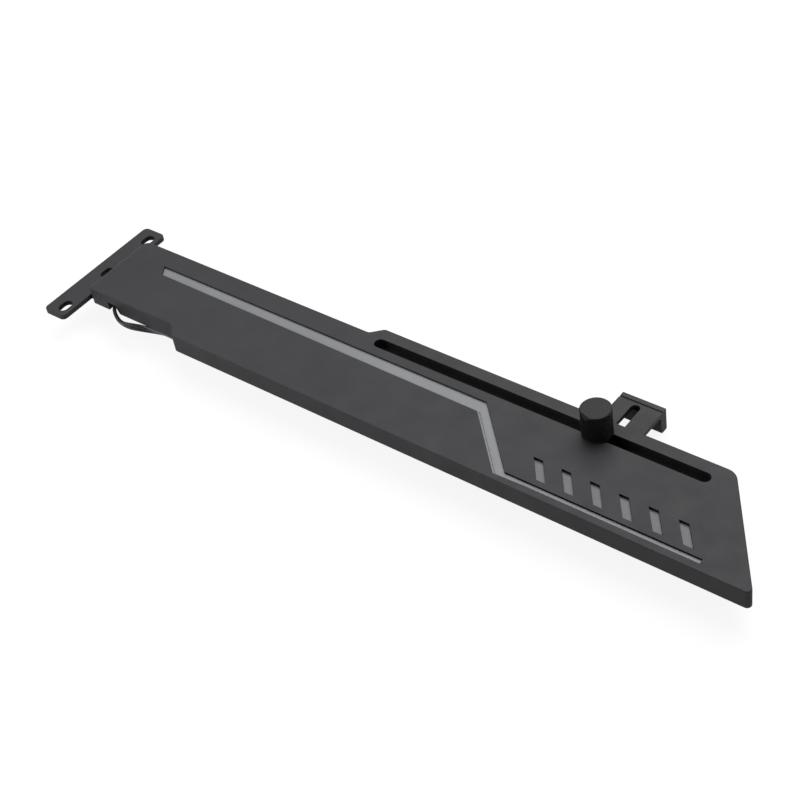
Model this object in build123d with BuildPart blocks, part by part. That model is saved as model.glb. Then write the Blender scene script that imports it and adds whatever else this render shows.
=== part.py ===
"""Support bracket that holds up the free end of a graphics card.

A T-shaped steel plate screws over three expansion slots of a computer case. A cover with a light
strip and six lit windows closes the plate. A hook-shaped arm is clamped against the underside by a
knurled thumb nut that runs in a long slot of the body.

Frame: X runs along the body, away from the case slots. Y runs across it, towards the arm. Z points
up, out of the lit face. The origin is the middle case slot, on the underside of the steel plate.
All sizes are in millimetres.
"""
import os
from math import radians, tan

from build123d import *

os.makedirs("parts", exist_ok=True)

# Steel base plate
plate_thickness = 2.0
slot_pitch = 20.32
case_slot_width = 3.4
case_slot_length = 5.2
case_slot_count = 3
head_outer_x = -6.0
head_inner_x = 3.6
head_near_y = -25.05
head_far_y = 25.7
head_corner = 1.8
plate_edge_round = 0.3
plate_fit = 0.15

# Plan of the body
body_start = 5.15
near_narrow_y = -12.8
near_y = -17.1
far_narrow_y = 16.25
far_y = 19.95
near_jog_x = 44.6
far_jog_x = 105.3
end_near_x = 261.25
end_slope_run = 26.1
end_far_x = end_near_x - end_slope_run
left_near_corner = 1.3
left_far_corner = 2.4
jog_corner = 2.0
end_near_corner = 1.4
end_far_corner = 5.0

# Cover walls
wall = 1.2
roof = 1.2
edge_round = 0.4
smallest_corner = 0.3

# Heights inside the body, from the plate up to the roof
tray_floor = 0.4
tape_thickness = 0.15
board_thickness = 0.6
led_height = 0.9
led_gap = 0.35
flange_thickness = 0.8

# Slot for the clamp stud
slot_start_margin = 6.6
slot_end_margin = 32.65
stud_slot_start = far_jog_x + slot_start_margin
stud_slot_end = end_near_x - slot_end_margin
stud_slot_y = 13.65
stud_slot_width = 3.9
collar_wall = 1.2

# Light strip: upper run, diagonal and lower run
strip_start = 15.85
strip_end_margin = 17.55
window_zone = 61.1
diagonal_zone = 25.4
strip_end_x = end_near_x - strip_end_margin
window_x = strip_end_x - window_zone
strip_left_x = body_start + strip_start
strip_left_slant = 2.3
strip_far_left_y = 8.75
strip_far_y = 8.4
strip_near_left_y = 5.0
strip_near_y = 3.75
strip_bend_far_x = window_x - diagonal_zone
strip_bend_near_x = strip_bend_far_x - 0.2
strip_angle = 45.6
strip_lower_far_y = near_y + 4.2
strip_lower_near_y = near_y + 2.5
strip_corner_y = near_y + 2.1
shoulder_length = 11.0
strip_corner = 0.8
strip_recess = 0.6
flange_margin = 0.8
guide_gap = 0.08
groove_offset = 0.47
groove_width = 0.22
groove_depth = 0.3

# Lit windows
window_count = 6
window_pitch = 9.635
window_width = 3.3
window_far_y = near_y + 13.45
window_near_y = near_y + 6.15
window_slant = 5.8
window_recess = 0.85

# Reflector trays, a little wider than the light guide's flange
tray_wall = 0.8
upper_tray_wall = 1.7
tray_margin = 1.2
tray_far_y = strip_far_left_y + tray_margin
tray_near_y = strip_near_y - tray_margin
tray_left_x = strip_left_x - tray_margin
tray_split_x = strip_bend_far_x - 3.2
tray_split_gap = 0.4
tray_lower_far_y = window_far_y + tray_margin
tray_lower_near_y = strip_lower_near_y - tray_margin
tray_end_x = strip_end_x + tray_margin
tray_bend_far_x = strip_bend_far_x + 2.4
tray_bend_near_x = strip_bend_near_x - 0.5

# Light boards
board_width = 3.2
board_margin = 1.8
board_left_x = strip_left_x + board_margin
board_right_x = tray_split_x - board_margin
lower_board_left_x = window_x - 2 * board_margin
lower_board_right_x = strip_end_x - board_margin
lower_board_near_y = strip_lower_near_y
lower_board_far_y = window_far_y - board_margin
tape_margin = 0.2
led_size = 2.0
led_corner = 0.2
upper_led_count = 12
lower_led_y = strip_lower_near_y + 1.1
link_width = 2.4
link_thickness = 0.5
link_bend = 2.0
link_landing = 6.0
link_end_y = window_near_y + 0.45

# Cover screws, held off the walls by one margin
screw_margin = 3.9
screw_spots = [
    (body_start + 1.5 * screw_margin, far_narrow_y - screw_margin),
    (near_jog_x + 4 * screw_margin, near_narrow_y + screw_margin),
    (far_jog_x - 2 * screw_margin, far_narrow_y - screw_margin),
    (strip_bend_near_x - 4 * screw_margin, near_narrow_y + screw_margin),
    (window_x + 5 * screw_margin, window_far_y + 2 * screw_margin),
    (end_far_x + screw_margin, stud_slot_y - 1.5 * screw_margin),
    (end_near_x - 2.6 * screw_margin, near_y + 1.4 * screw_margin),
]
screw_radius = 0.95
screw_head_radius = 1.9
screw_tip_gap = 0.8
pilot_clearance = 0.05
screw_hole_clearance = 0.3
head_clearance = 0.05
drive_width = 0.45
drive_length = 2.0
drive_depth = 0.55
boss_radius = 2.1
boss_gap = 0.05

# Thumb nut
knob_radius = 4.8
knob_height = 9.95
knob_chamfer = 0.15
knob_bore_depth = 5.6
knob_collar_radius = 4.35
knob_collar_height = 0.5

# Clamp stud with its head under the arm
stud_radius = 1.5
stud_reach = 4.6
stud_chamfer = 0.3
stud_head_radius = 2.75
stud_head_thickness = 1.6
stud_socket = 2.0
stud_socket_depth = 1.0
thread_gap = 0.03
slide_gap = 0.05

# Keyed washer that guides the arm
washer_size = 7.0
washer_thickness = 0.8
washer_corner = 0.6
key_near = 1.8
key_far = 2.9
key_height = 1.2
key_gap = 0.05

# Support arm with its hooked lip
clamp_setback = 35.4
clamp_x = stud_slot_end - clamp_setback
arm_width = 15.0
arm_offset = 0.45
arm_thickness = 1.6
arm_near_y = stud_slot_y - 12.0
arm_slot_width = 2 * stud_radius + 0.1
arm_slot_near_y = stud_slot_y - 8.75
lip_reach = 15.05
lip_inner_y = far_y + lip_reach
lip_thickness = 2.9
lip_bottom_z = -8.1
lip_groove_setback = 0.9
lip_groove_y = lip_inner_y + lip_groove_setback
lip_groove_width = 0.8
lip_groove_depth = 0.25
arm_slot_far_y = lip_inner_y - slide_gap
arm_corner = 1.5
lip_round = 0.5
crook_round = 0.8

# Notch where the lead leaves the body
notch_x = 13.5
notch_width = 5.0
notch_height = 3.25
notch_slant = 1.4
plate_notch_y = -7.4

# Strain relief on the lead
relief_front_y = -9.2
relief_back_y = -5.4
relief_width = 6.6
relief_height = 2.4

# Wires inside the body
wire_radius = 0.5
wire_pitch = 1.1
wire_bend = 1.5
wire_landing = 2.5
wire_count = 3

# Coil of spare lead, put away under the body: four turns, two beside and two above each other
lead_radius = 1.1
hank_left_x = near_jog_x + 3.2
hank_length = 33.4
hank_width = 17.8
hank_near_y = near_y + 5.5
hank_top_z = -1.0
hank_layer = 2.25
hank_round = 1.05
tie_width = 3.6
tie_thickness = 0.55
tie_head = 2.4
tie_head_width = 4.4

# Free lead, coming out of the notch and going back under the body
lead_exit = (notch_x + 1.6, relief_front_y, 1.6)
lead_turn = (notch_x + 1.6, -12.1, 1.6)
lead_bulge_start = (19.4, -15.5, 1.45)
lead_bulge_end = (25.6, -16.8, 0.45)
lead_tuck = (32.2, -12.7, -1.65)
lead_level = (44.7, hank_near_y + lead_radius, hank_top_z - lead_radius)
turn_share = 0.45

# Tail of the lead and the plug
tail_length = 18.0
plug_length = 14.0
plug_width = 10.2
plug_height = 2.6
plug_round = 0.3
pin_pitch = 2.54
pin_places = [-1.5, -0.5, 1.5]
contact_size = 1.5
contact_hole = 0.9
contact_length = 9.0
contact_gap = 0.05
contact_setback = 0.8

# Heights worked out from the stack
tape_z = plate_thickness + tray_floor
board_z = tape_z + tape_thickness
led_z = board_z + board_thickness
flange_z = led_z + led_height + led_gap
roof_z = flange_z + flange_thickness
body_height = roof_z + roof
run_per_fall = tan(radians(strip_angle))
strip_corner_x = strip_bend_near_x + (strip_near_y - strip_corner_y) * run_per_fall
upper_strip_y = (strip_far_y + strip_near_y) / 2
arm_top_z = -slide_gap
arm_under_z = arm_top_z - arm_thickness
washer_top_z = arm_under_z - slide_gap
washer_under_z = washer_top_z - washer_thickness
stud_head_z = washer_under_z - slide_gap
knob_z = body_height + slide_gap
stud_slot_middle = (stud_slot_start + stud_slot_end) / 2
stud_slot_travel = stud_slot_end - stud_slot_start
window_middle_x = window_x + ((window_count - 1) * window_pitch + window_width + window_slant) / 2
wire_z = led_z + wire_radius
wire_end_x = board_left_x + wire_landing
link_start_x = board_right_x - link_landing
upper_led_start = wire_end_x + led_size
upper_led_pitch = (link_start_x - led_size - upper_led_start) / (upper_led_count - 1)
upper_led_x = (upper_led_start + link_start_x - led_size) / 2
hank_height = hank_layer + 2 * lead_radius + 0.1
hank_y = hank_near_y + hank_width / 2
hank_z = hank_top_z - hank_height / 2
hank_straight_x = hank_left_x + hank_width / 2
hank_middle_x = hank_left_x + hank_length / 2
tail_y = hank_near_y + hank_width - lead_radius
tail_z = hank_top_z - lead_radius - hank_layer
plug_x = hank_straight_x - tail_length - plug_length
pin_spots = [(tail_y + place * pin_pitch, tail_z) for place in pin_places]
arm_left_x = clamp_x - arm_width / 2 + arm_offset
lip_outer_y = lip_inner_y + lip_thickness


def body_plan(inset):
    """Plan of the body, with every side moved inwards by the inset."""
    with BuildSketch() as plan:
        with BuildLine():
            Polyline(
                (body_start, near_narrow_y),
                (near_jog_x, near_narrow_y),
                (near_jog_x + near_narrow_y - near_y, near_y),
                (end_near_x, near_y),
                (end_far_x, far_y),
                (far_jog_x + far_y - far_narrow_y, far_y),
                (far_jog_x, far_narrow_y),
                (body_start, far_narrow_y),
                close=True,
            )
        make_face()
        if inset > 0:
            offset(amount=-inset, kind=Kind.INTERSECTION)
        jogs = plan.vertices().filter_by_position(Axis.X, near_jog_x - jog_corner, stud_slot_start)
        fillet(jogs, jog_corner)
        fillet(plan.vertices().group_by(Axis.X)[-2], end_far_corner - inset)
        fillet(plan.vertices().group_by(Axis.X)[-1], max(end_near_corner - inset, smallest_corner))
        left_far = plan.vertices().group_by(Axis.X)[0].sort_by(Axis.Y)[-1]
        fillet(left_far, max(left_far_corner - inset, smallest_corner))
        left_near = plan.vertices().group_by(Axis.X)[0].sort_by(Axis.Y)[0]
        fillet(left_near, max(left_near_corner - inset, smallest_corner))
    return plan.sketch


def strip_plan(growth):
    """Outline of the light strip opening, with every side moved outwards by the growth."""
    with BuildSketch() as plan:
        with BuildLine():
            Polyline(
                (strip_left_x, strip_far_left_y),
                (strip_bend_far_x, strip_far_y),
                (strip_bend_far_x + (strip_far_y - strip_lower_far_y) * run_per_fall, strip_lower_far_y),
                (strip_end_x, strip_lower_far_y),
                (strip_end_x, strip_lower_near_y),
                (strip_corner_x + shoulder_length, strip_lower_near_y),
                (strip_corner_x, strip_corner_y),
                (strip_bend_near_x, strip_near_y),
                (strip_left_x + strip_left_slant, strip_near_left_y),
                close=True,
            )
        make_face()
        if growth != 0:
            offset(amount=growth, kind=Kind.INTERSECTION)
        bend = plan.vertices().sort_by_distance((strip_bend_far_x, strip_far_y))[0]
        fillet(bend, strip_corner)
    return plan.sketch


def window_plan(gap):
    """The six window openings, each made smaller all round by the gap."""
    with BuildSketch() as one_window:
        with BuildLine():
            Polyline(
                (0, 0),
                (window_width, 0),
                (window_width + window_slant, window_near_y - window_far_y),
                (window_slant, window_near_y - window_far_y),
                close=True,
            )
        make_face()
        if gap > 0:
            offset(amount=-gap, kind=Kind.INTERSECTION)
    with BuildSketch() as plan:
        with Locations(*[(window_x + index * window_pitch, window_far_y) for index in range(window_count)]):
            add(one_window.sketch)
    return plan.sketch


def lower_tray_plan(inset):
    """Outline of the lower reflector tray, with every side moved inwards by the inset."""
    with BuildSketch() as plan:
        with BuildLine():
            Polyline(
                (tray_split_x + tray_split_gap, tray_far_y),
                (tray_bend_far_x, tray_far_y),
                (tray_bend_far_x + (tray_far_y - tray_lower_far_y) * run_per_fall, tray_lower_far_y),
                (tray_end_x, tray_lower_far_y),
                (tray_end_x, tray_lower_near_y),
                (tray_bend_near_x + (tray_near_y - tray_lower_near_y) * run_per_fall, tray_lower_near_y),
                (tray_bend_near_x, tray_near_y),
                (tray_split_x + tray_split_gap, tray_near_y),
                close=True,
            )
        make_face()
        if inset > 0:
            offset(amount=-inset, kind=Kind.INTERSECTION)
    return plan.sketch


def turn_radius(before, corner, after):
    """Bend radius at a corner, from its shorter run and the angle it turns through."""
    run_in = Vector(*corner) - Vector(*before)
    run_out = Vector(*after) - Vector(*corner)
    half_turn = radians(run_in.get_angle(run_out)) / 2
    return turn_share * min(run_in.length, run_out.length) / tan(half_turn)


body_outline = body_plan(0)
cavity_outline = body_plan(wall)
plate_outline = body_plan(wall + plate_fit)
strip_opening = strip_plan(0)
strip_pad = strip_plan(-guide_gap)
strip_flange = strip_plan(flange_margin)
window_openings = window_plan(0)
window_pads = window_plan(guide_gap)
lower_tray_outline = lower_tray_plan(0)
lower_tray_inside = lower_tray_plan(tray_wall)
screw_places = Locations(*screw_spots)

# Steel plate that everything is built on
with BuildPart() as base_plate:
    with BuildSketch():
        with Locations(((head_outer_x + head_inner_x) / 2, (head_near_y + head_far_y) / 2)):
            RectangleRounded(head_inner_x - head_outer_x, head_far_y - head_near_y, head_corner)
        add(plate_outline)
        with Locations((0, near_narrow_y + wall + plate_fit)):
            Rectangle(
                notch_x,
                far_narrow_y - near_narrow_y - 2 * wall - 2 * plate_fit,
                align=(Align.MIN, Align.MIN),
            )
        with GridLocations(slot_pitch, slot_pitch, 1, case_slot_count):
            SlotOverall(case_slot_length, case_slot_width, rotation=90, mode=Mode.SUBTRACT)
        with Locations((stud_slot_middle, stud_slot_y)):
            SlotCenterToCenter(stud_slot_travel, stud_slot_width, mode=Mode.SUBTRACT)
        with Locations((notch_x, near_y)):
            Rectangle(
                notch_width,
                plate_notch_y - near_y,
                align=(Align.MIN, Align.MIN),
                mode=Mode.SUBTRACT,
            )
    extrude(amount=plate_thickness)
    rims = base_plate.faces().sort_by(Axis.Z)[0].edges() + base_plate.faces().sort_by(Axis.Z)[-1].edges()
    head_rims = rims.filter_by_position(Axis.X, head_outer_x - plate_fit, head_inner_x + plate_fit)
    fillet(head_rims, plate_edge_round)
    with Locations(Plane.XY.rotated((180, 0, 0))):
        with Locations(*[(x, -y) for x, y in screw_spots]):
            CounterSinkHole(
                radius=screw_radius + screw_hole_clearance,
                counter_sink_radius=screw_head_radius + head_clearance,
                depth=plate_thickness,
                counter_sink_angle=90,
            )
base_plate.part.label = "base_plate"

# Cover with its walls, slot collar and screw bosses
with BuildPart() as top_cover:
    with BuildSketch():
        add(body_outline)
    extrude(amount=body_height)
    fillet(top_cover.faces().sort_by(Axis.Z)[-1].edges(), edge_round)
    with BuildSketch():
        add(cavity_outline)
    extrude(amount=roof_z, mode=Mode.SUBTRACT)
    with BuildSketch(Plane.XY.offset(plate_thickness)):
        with Locations((stud_slot_middle, stud_slot_y)):
            SlotCenterToCenter(stud_slot_travel, stud_slot_width + 2 * collar_wall)
    extrude(amount=roof_z - plate_thickness)
    with BuildSketch():
        with Locations((stud_slot_middle, stud_slot_y)):
            SlotCenterToCenter(stud_slot_travel, stud_slot_width)
    extrude(amount=body_height, mode=Mode.SUBTRACT)
    with BuildSketch(Plane.XY.offset(plate_thickness + boss_gap)):
        with Locations(*screw_spots):
            Circle(boss_radius)
    extrude(amount=roof_z - plate_thickness - boss_gap)
    with BuildSketch(Plane.XY.offset(plate_thickness)):
        with Locations(*screw_spots):
            Circle(screw_radius + pilot_clearance)
    extrude(amount=roof_z - plate_thickness, mode=Mode.SUBTRACT)
    with BuildSketch(Plane.XY.offset(roof_z)):
        add(strip_opening)
        add(window_openings)
    extrude(amount=roof, mode=Mode.SUBTRACT)
    with BuildSketch(Plane.XZ.offset(-near_narrow_y)):
        with BuildLine():
            Polyline(
                (notch_x, 0),
                (notch_x, notch_height),
                (notch_x + notch_width - notch_slant, notch_height),
                (notch_x + notch_width, 0),
                close=True,
            )
        make_face()
    extrude(amount=-wall, mode=Mode.SUBTRACT)
    with BuildSketch():
        with Locations((body_start, near_narrow_y + wall)):
            Rectangle(
                wall + left_far_corner,
                far_narrow_y - near_narrow_y - 2 * wall,
                align=(Align.MIN, Align.MIN),
            )
    extrude(amount=plate_thickness + boss_gap, mode=Mode.SUBTRACT)
top_cover.part.label = "top_cover"

# One light guide fills the upper run, the diagonal and the lower run
with BuildPart() as light_guide:
    with BuildSketch(Plane.XY.offset(flange_z)):
        add(strip_flange)
    extrude(amount=flange_thickness)
    with BuildSketch(Plane.XY.offset(roof_z)):
        add(strip_pad)
    extrude(amount=roof - strip_recess)
    with BuildSketch(Plane.XY.offset(body_height - strip_recess - groove_depth)):
        with BuildLine():
            Polyline(
                (strip_bend_near_x + groove_offset, strip_near_y + groove_offset),
                (
                    strip_corner_x + groove_offset,
                    strip_corner_y + groove_offset,
                ),
            )
        trace(line_width=groove_width)
    extrude(amount=groove_depth, mode=Mode.SUBTRACT)
light_guide.part.label = "light_guide"

# One lens strip with six raised pads
with BuildPart() as window_lens:
    with BuildSketch(Plane.XY.offset(flange_z)):
        with BuildLine():
            Polyline(
                (window_x - flange_margin, window_far_y + flange_margin),
                (window_x + (window_count - 1) * window_pitch + window_width + flange_margin,
                 window_far_y + flange_margin),
                (window_x + (window_count - 1) * window_pitch + window_width + window_slant + flange_margin,
                 window_near_y - flange_margin),
                (window_x + window_slant - flange_margin, window_near_y - flange_margin),
                close=True,
            )
        make_face()
    extrude(amount=flange_thickness)
    with BuildSketch(Plane.XY.offset(roof_z)):
        add(window_pads)
    extrude(amount=roof - window_recess)
window_lens.part.label = "window_lens"

# Reflector channel under the upper run
with BuildPart() as reflector_tray_upper:
    with BuildSketch(Plane.XY.offset(plate_thickness)):
        with Locations((tray_left_x, tray_near_y)):
            Rectangle(tray_split_x - tray_left_x, tray_far_y - tray_near_y, align=(Align.MIN, Align.MIN))
    extrude(amount=flange_z - plate_thickness)
    with BuildSketch(Plane.XY.offset(tape_z)):
        with Locations((tray_left_x, tray_near_y + upper_tray_wall)):
            Rectangle(
                tray_split_x - tray_left_x,
                tray_far_y - tray_near_y - 2 * upper_tray_wall,
                align=(Align.MIN, Align.MIN),
            )
    extrude(amount=flange_z - tape_z, mode=Mode.SUBTRACT)
reflector_tray_upper.part.label = "reflector_tray_upper"

# Reflector tray under the diagonal, the lower run and the windows
with BuildPart() as reflector_tray_lower:
    with BuildSketch(Plane.XY.offset(plate_thickness)):
        add(lower_tray_outline)
    extrude(amount=flange_z - plate_thickness)
    with BuildSketch(Plane.XY.offset(tape_z)):
        add(lower_tray_inside)
        with Locations((tray_split_x, tray_near_y + tray_wall)):
            Rectangle(
                tray_bend_near_x - tray_split_x,
                tray_far_y - tray_near_y - 2 * tray_wall,
                align=(Align.MIN, Align.MIN),
            )
    extrude(amount=flange_z - tape_z, mode=Mode.SUBTRACT)
reflector_tray_lower.part.label = "reflector_tray_lower"

# Double-sided tape under each light board
with BuildPart() as board_tape_upper:
    with BuildSketch(Plane.XY.offset(tape_z)):
        with Locations(((board_left_x + board_right_x) / 2, upper_strip_y)):
            Rectangle(board_right_x - board_left_x - 2 * tape_margin, board_width - 2 * tape_margin)
    extrude(amount=tape_thickness)
board_tape_upper.part.label = "board_tape_upper"

with BuildPart() as board_tape_lower:
    with BuildSketch(Plane.XY.offset(tape_z)):
        with Locations((lower_board_left_x + tape_margin, lower_board_near_y + tape_margin)):
            Rectangle(
                lower_board_right_x - lower_board_left_x - 2 * tape_margin,
                lower_board_far_y - lower_board_near_y - 2 * tape_margin,
                align=(Align.MIN, Align.MIN),
            )
    extrude(amount=tape_thickness)
board_tape_lower.part.label = "board_tape_lower"

# Light boards
with BuildPart() as led_board_upper:
    with BuildSketch(Plane.XY.offset(board_z)):
        with Locations(((board_left_x + board_right_x) / 2, upper_strip_y)):
            Rectangle(board_right_x - board_left_x, board_width)
    extrude(amount=board_thickness)
led_board_upper.part.label = "led_board_upper"

with BuildPart() as led_board_lower:
    with BuildSketch(Plane.XY.offset(board_z)):
        with Locations((lower_board_left_x, lower_board_near_y)):
            Rectangle(
                lower_board_right_x - lower_board_left_x,
                lower_board_far_y - lower_board_near_y,
                align=(Align.MIN, Align.MIN),
            )
    extrude(amount=board_thickness)
led_board_lower.part.label = "led_board_lower"

# Light-emitting parts on the boards
with BuildPart() as leds_upper:
    with BuildSketch(Plane.XY.offset(led_z)):
        with Locations((upper_led_x, upper_strip_y)):
            with GridLocations(upper_led_pitch, upper_led_pitch, upper_led_count, 1):
                RectangleRounded(led_size, led_size, led_corner)
    extrude(amount=led_height)
leds_upper.part.label = "leds_upper"

with BuildPart() as leds_lower:
    with BuildSketch(Plane.XY.offset(led_z)):
        with Locations((window_middle_x, (window_far_y + window_near_y) / 2), (window_middle_x, lower_led_y)):
            with GridLocations(window_pitch, window_pitch, window_count, 1):
                RectangleRounded(led_size, led_size, led_corner)
    extrude(amount=led_height)
leds_lower.part.label = "leds_lower"

# Flat link that feeds the lower board from the upper one
with BuildPart() as board_link:
    with BuildSketch(Plane.XY.offset(led_z)):
        with BuildLine():
            FilletPolyline(
                (link_start_x, upper_strip_y),
                (strip_bend_far_x, upper_strip_y),
                (strip_bend_far_x + (upper_strip_y - link_end_y) * run_per_fall, link_end_y),
                (lower_board_left_x + link_landing, link_end_y),
                radius=link_bend,
            )
        trace(line_width=link_width)
    extrude(amount=link_thickness)
board_link.part.label = "board_link"

# Screws that hold the cover down on the plate, with their heads sunk in the underside
with BuildPart() as cover_screws:
    with BuildSketch():
        with Locations(*screw_spots):
            Circle(screw_head_radius)
    extrude(amount=screw_head_radius - screw_radius, taper=45)
    with BuildSketch():
        with Locations(*screw_spots):
            Circle(screw_radius)
    extrude(amount=roof_z - screw_tip_gap)
    with BuildSketch():
        with Locations(*screw_spots):
            Rectangle(drive_length, drive_width)
            Rectangle(drive_width, drive_length)
    extrude(amount=drive_depth, mode=Mode.SUBTRACT)
cover_screws.part.label = "cover_screws"

# Strain relief that holds the lead in the notch
relief_x = notch_x + notch_width / 2
with BuildPart() as strain_relief:
    with BuildSketch(Plane.XY.offset(plate_thickness)):
        with Locations((relief_x, relief_front_y)):
            Rectangle(relief_width, relief_back_y - relief_front_y, align=(Align.CENTER, Align.MIN))
    extrude(amount=relief_height)
    with BuildSketch():
        with Locations((relief_x, relief_front_y)):
            Rectangle(
                notch_width - 2 * key_gap,
                plate_notch_y - key_gap - relief_front_y,
                align=(Align.CENTER, Align.MIN),
            )
    extrude(amount=plate_thickness)
strain_relief.part.label = "strain_relief"

# Wires from the strain relief to the upper board
with BuildPart() as inner_wires:
    for index in range(wire_count):
        shift = (index - (wire_count - 1) / 2) * wire_pitch
        wire_start = (relief_x - shift, relief_back_y, wire_z)
        wire_corner = (relief_x - shift, upper_strip_y + shift, wire_z)
        wire_end = (wire_end_x, upper_strip_y + shift, wire_z)
        with BuildLine() as wire_path:
            FilletPolyline(wire_start, wire_corner, wire_end, radius=wire_bend)
        with BuildSketch(Plane(origin=wire_start, z_dir=(0, 1, 0))):
            Circle(wire_radius)
        sweep(path=wire_path.line)
inner_wires.part.label = "inner_wires"

# Lead from the notch to the coil
lead_entry = (hank_straight_x, lead_level[1], lead_level[2])
lead_points = [lead_exit, lead_turn, lead_bulge_start, lead_bulge_end, lead_tuck, lead_level, lead_entry]
lead_radii = [turn_radius(*lead_points[index:index + 3]) for index in range(len(lead_points) - 2)]
with BuildPart() as lead:
    with BuildLine() as lead_path:
        FilletPolyline(*lead_points, radius=lead_radii)
    with BuildSketch(Plane(origin=lead_exit, z_dir=(0, -1, 0))):
        Circle(lead_radius)
    sweep()
lead.part.label = "lead"

# Coil of spare lead as its outer shape
with BuildPart() as lead_hank:
    with BuildSketch(Plane.XY.offset(hank_z - hank_height / 2)):
        with Locations((hank_middle_x, hank_y)):
            SlotOverall(hank_length, hank_width)
    extrude(amount=hank_height)
    fillet(lead_hank.faces().sort_by(Axis.Z)[-1].edges(), hank_round)
    fillet(lead_hank.faces().sort_by(Axis.Z)[0].edges(), hank_round)
lead_hank.part.label = "lead_hank"

# Tie round the middle of the coil, with its head on the far side
with BuildPart() as hank_tie:
    with BuildSketch(Plane.YZ.offset(hank_middle_x)):
        with Locations((hank_y, hank_z)):
            RectangleRounded(
                hank_width + 2 * tie_thickness,
                hank_height + 2 * tie_thickness,
                hank_round + tie_thickness,
            )
    extrude(amount=tie_width / 2, both=True)
    with BuildSketch(Plane.YZ.offset(hank_middle_x)):
        with Locations((hank_y + hank_width / 2, hank_z)):
            Rectangle(tie_head, tie_head_width, align=(Align.MIN, Align.CENTER))
    extrude(amount=tie_head_width / 2, both=True)
    with BuildSketch(Plane.YZ.offset(hank_middle_x)):
        with Locations((hank_y, hank_z)):
            RectangleRounded(hank_width, hank_height, hank_round)
    extrude(amount=tie_head_width, both=True, mode=Mode.SUBTRACT)
hank_tie.part.label = "hank_tie"

# Tail from the coil to the plug
with BuildPart() as lead_tail:
    with BuildSketch(Plane.YZ.offset(hank_straight_x - tail_length)):
        with Locations((tail_y, tail_z)):
            Circle(lead_radius)
    extrude(amount=tail_length)
lead_tail.part.label = "lead_tail"

# Plug housing with three contact holes
with BuildPart() as lead_plug:
    with BuildSketch(Plane.YZ.offset(plug_x)):
        with Locations((tail_y, tail_z)):
            RectangleRounded(plug_width, plug_height, plug_round)
    extrude(amount=plug_length)
    with BuildSketch(Plane.YZ.offset(plug_x)):
        with Locations(*pin_spots):
            Rectangle(contact_size + 2 * contact_gap, contact_size + 2 * contact_gap)
    extrude(amount=contact_length + contact_setback, mode=Mode.SUBTRACT)
lead_plug.part.label = "lead_plug"

# Metal contacts inside the plug
with BuildPart() as plug_contacts:
    with BuildSketch(Plane.YZ.offset(plug_x + contact_setback)):
        with Locations(*pin_spots):
            Rectangle(contact_size, contact_size)
            Rectangle(contact_hole, contact_hole, mode=Mode.SUBTRACT)
    extrude(amount=contact_length)
plug_contacts.part.label = "plug_contacts"

# Stud with its head under the arm
with BuildPart() as clamp_stud:
    with BuildSketch(Plane.XY.offset(stud_head_z - stud_head_thickness)):
        with Locations((clamp_x, stud_slot_y)):
            Circle(stud_head_radius)
    extrude(amount=stud_head_thickness)
    chamfer(clamp_stud.edges().sort_by(Axis.Z)[0], stud_chamfer)
    with BuildSketch(Plane.XY.offset(stud_head_z)):
        with Locations((clamp_x, stud_slot_y)):
            Circle(stud_radius)
    extrude(amount=knob_z + stud_reach - stud_head_z)
    chamfer(clamp_stud.edges().sort_by(Axis.Z)[-1], stud_chamfer)
    with BuildSketch(Plane.XY.offset(stud_head_z - stud_head_thickness)):
        with Locations((clamp_x, stud_slot_y)):
            RegularPolygon(stud_socket / 2, 6, major_radius=False)
    extrude(amount=stud_socket_depth, mode=Mode.SUBTRACT)
clamp_stud.part.label = "clamp_stud"

# Knurled thumb nut
with BuildPart() as thumb_knob:
    with BuildSketch(Plane.XY.offset(knob_z)):
        with Locations((clamp_x, stud_slot_y)):
            Circle(knob_collar_radius)
    extrude(amount=knob_collar_height)
    with BuildSketch(Plane.XY.offset(knob_z + knob_collar_height)):
        with Locations((clamp_x, stud_slot_y)):
            Circle(knob_radius)
    extrude(amount=knob_height - knob_collar_height)
    chamfer(thumb_knob.edges().sort_by(Axis.Z)[-1], knob_chamfer)
    with BuildSketch(Plane.XY.offset(knob_z)):
        with Locations((clamp_x, stud_slot_y)):
            Circle(stud_radius + thread_gap)
    extrude(amount=knob_bore_depth, mode=Mode.SUBTRACT)
thumb_knob.part.label = "thumb_knob"

# Square washer with two keys that keep the arm in line
with BuildPart() as clamp_washer:
    with BuildSketch(Plane.XY.offset(washer_under_z)):
        with Locations((clamp_x, stud_slot_y)):
            RectangleRounded(washer_size, washer_size, washer_corner)
    extrude(amount=washer_thickness)
    with BuildSketch(Plane.XY.offset(washer_top_z)):
        with Locations((clamp_x, stud_slot_y)):
            Rectangle(arm_slot_width - 2 * key_gap, 2 * key_far)
            Rectangle(arm_slot_width, 2 * key_near, mode=Mode.SUBTRACT)
    extrude(amount=key_height)
    with BuildSketch(Plane.XY.offset(washer_under_z)):
        with Locations((clamp_x, stud_slot_y)):
            Circle(stud_radius + key_gap)
    extrude(amount=washer_thickness, mode=Mode.SUBTRACT)
clamp_washer.part.label = "clamp_washer"

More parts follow.
